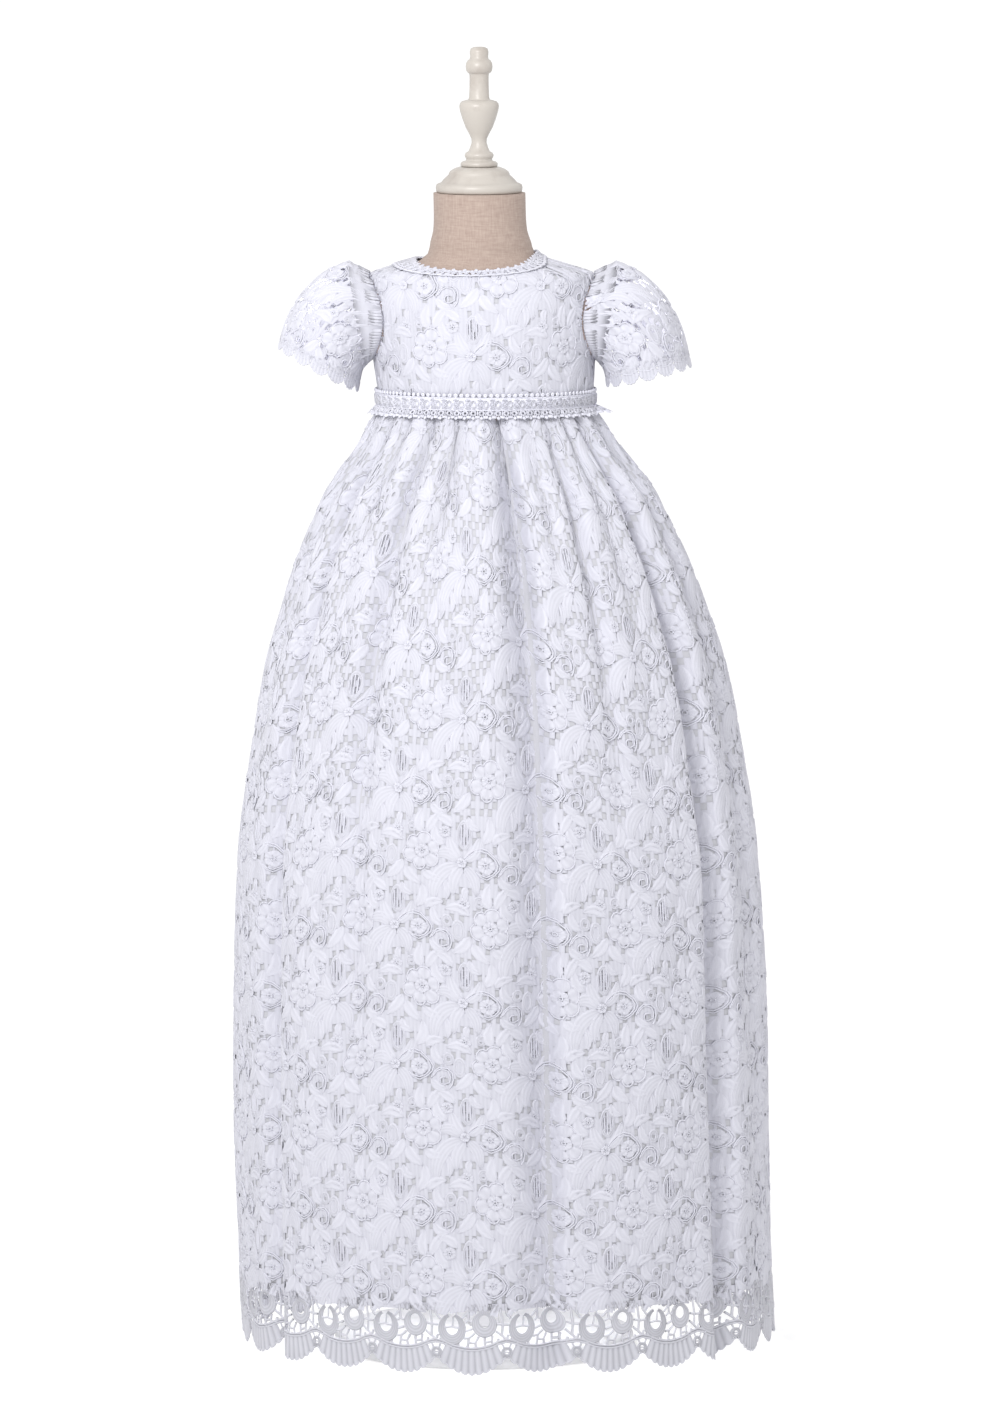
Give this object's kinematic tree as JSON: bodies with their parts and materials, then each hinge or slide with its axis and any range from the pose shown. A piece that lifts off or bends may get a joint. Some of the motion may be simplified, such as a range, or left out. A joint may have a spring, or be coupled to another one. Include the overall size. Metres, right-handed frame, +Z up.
{
  "type": "christening gown on a dress form",
  "caption": "Long child's christening gown of scalloped cotton lace over a lining, with short puffed sleeves, shown on a limbless dress form with a turned finial.",
  "frame": {"origin": "centre of the underside of the dress form's round foot, on the floor", "axes": "+Z up, the front of the gown faces -Y, +X is to the viewer's right in a front view"},
  "size_m": [0.4324, 0.3648, 1.044],
  "materials": {
    "lace": "matte cotton guipure lace",
    "lining": "matte plain woven cotton",
    "button": "pearl gloss",
    "form_linen": "fine beige linen",
    "form_wood": "satin cream paint on turned wood"
  },
  "bodies": {
    "root": {"bodice_front": "lace", "bodice_back_right": "lace", "bodice_back_left": "lace", "waist_band": "lace", "sleeve_right_front": "lace", "sleeve_right_back": "lace", "sleeve_left_front": "lace", "sleeve_left_back": "lace", "skirt_lace_front": "lace", "skirt_lace_back": "lace", "hem_lace_front": "lace", "hem_lace_back": "lace", "lining_front": "lining", "lining_back": "lining", "button_1": "button", "button_2": "button", "button_3": "button", "button_4": "button", "button_5": "button", "form_torso": "form_linen", "form_cap": "form_wood", "form_finial": "form_wood", "form_pole": "form_wood", "form_foot": "form_wood"}
  },
  "joints": []
}
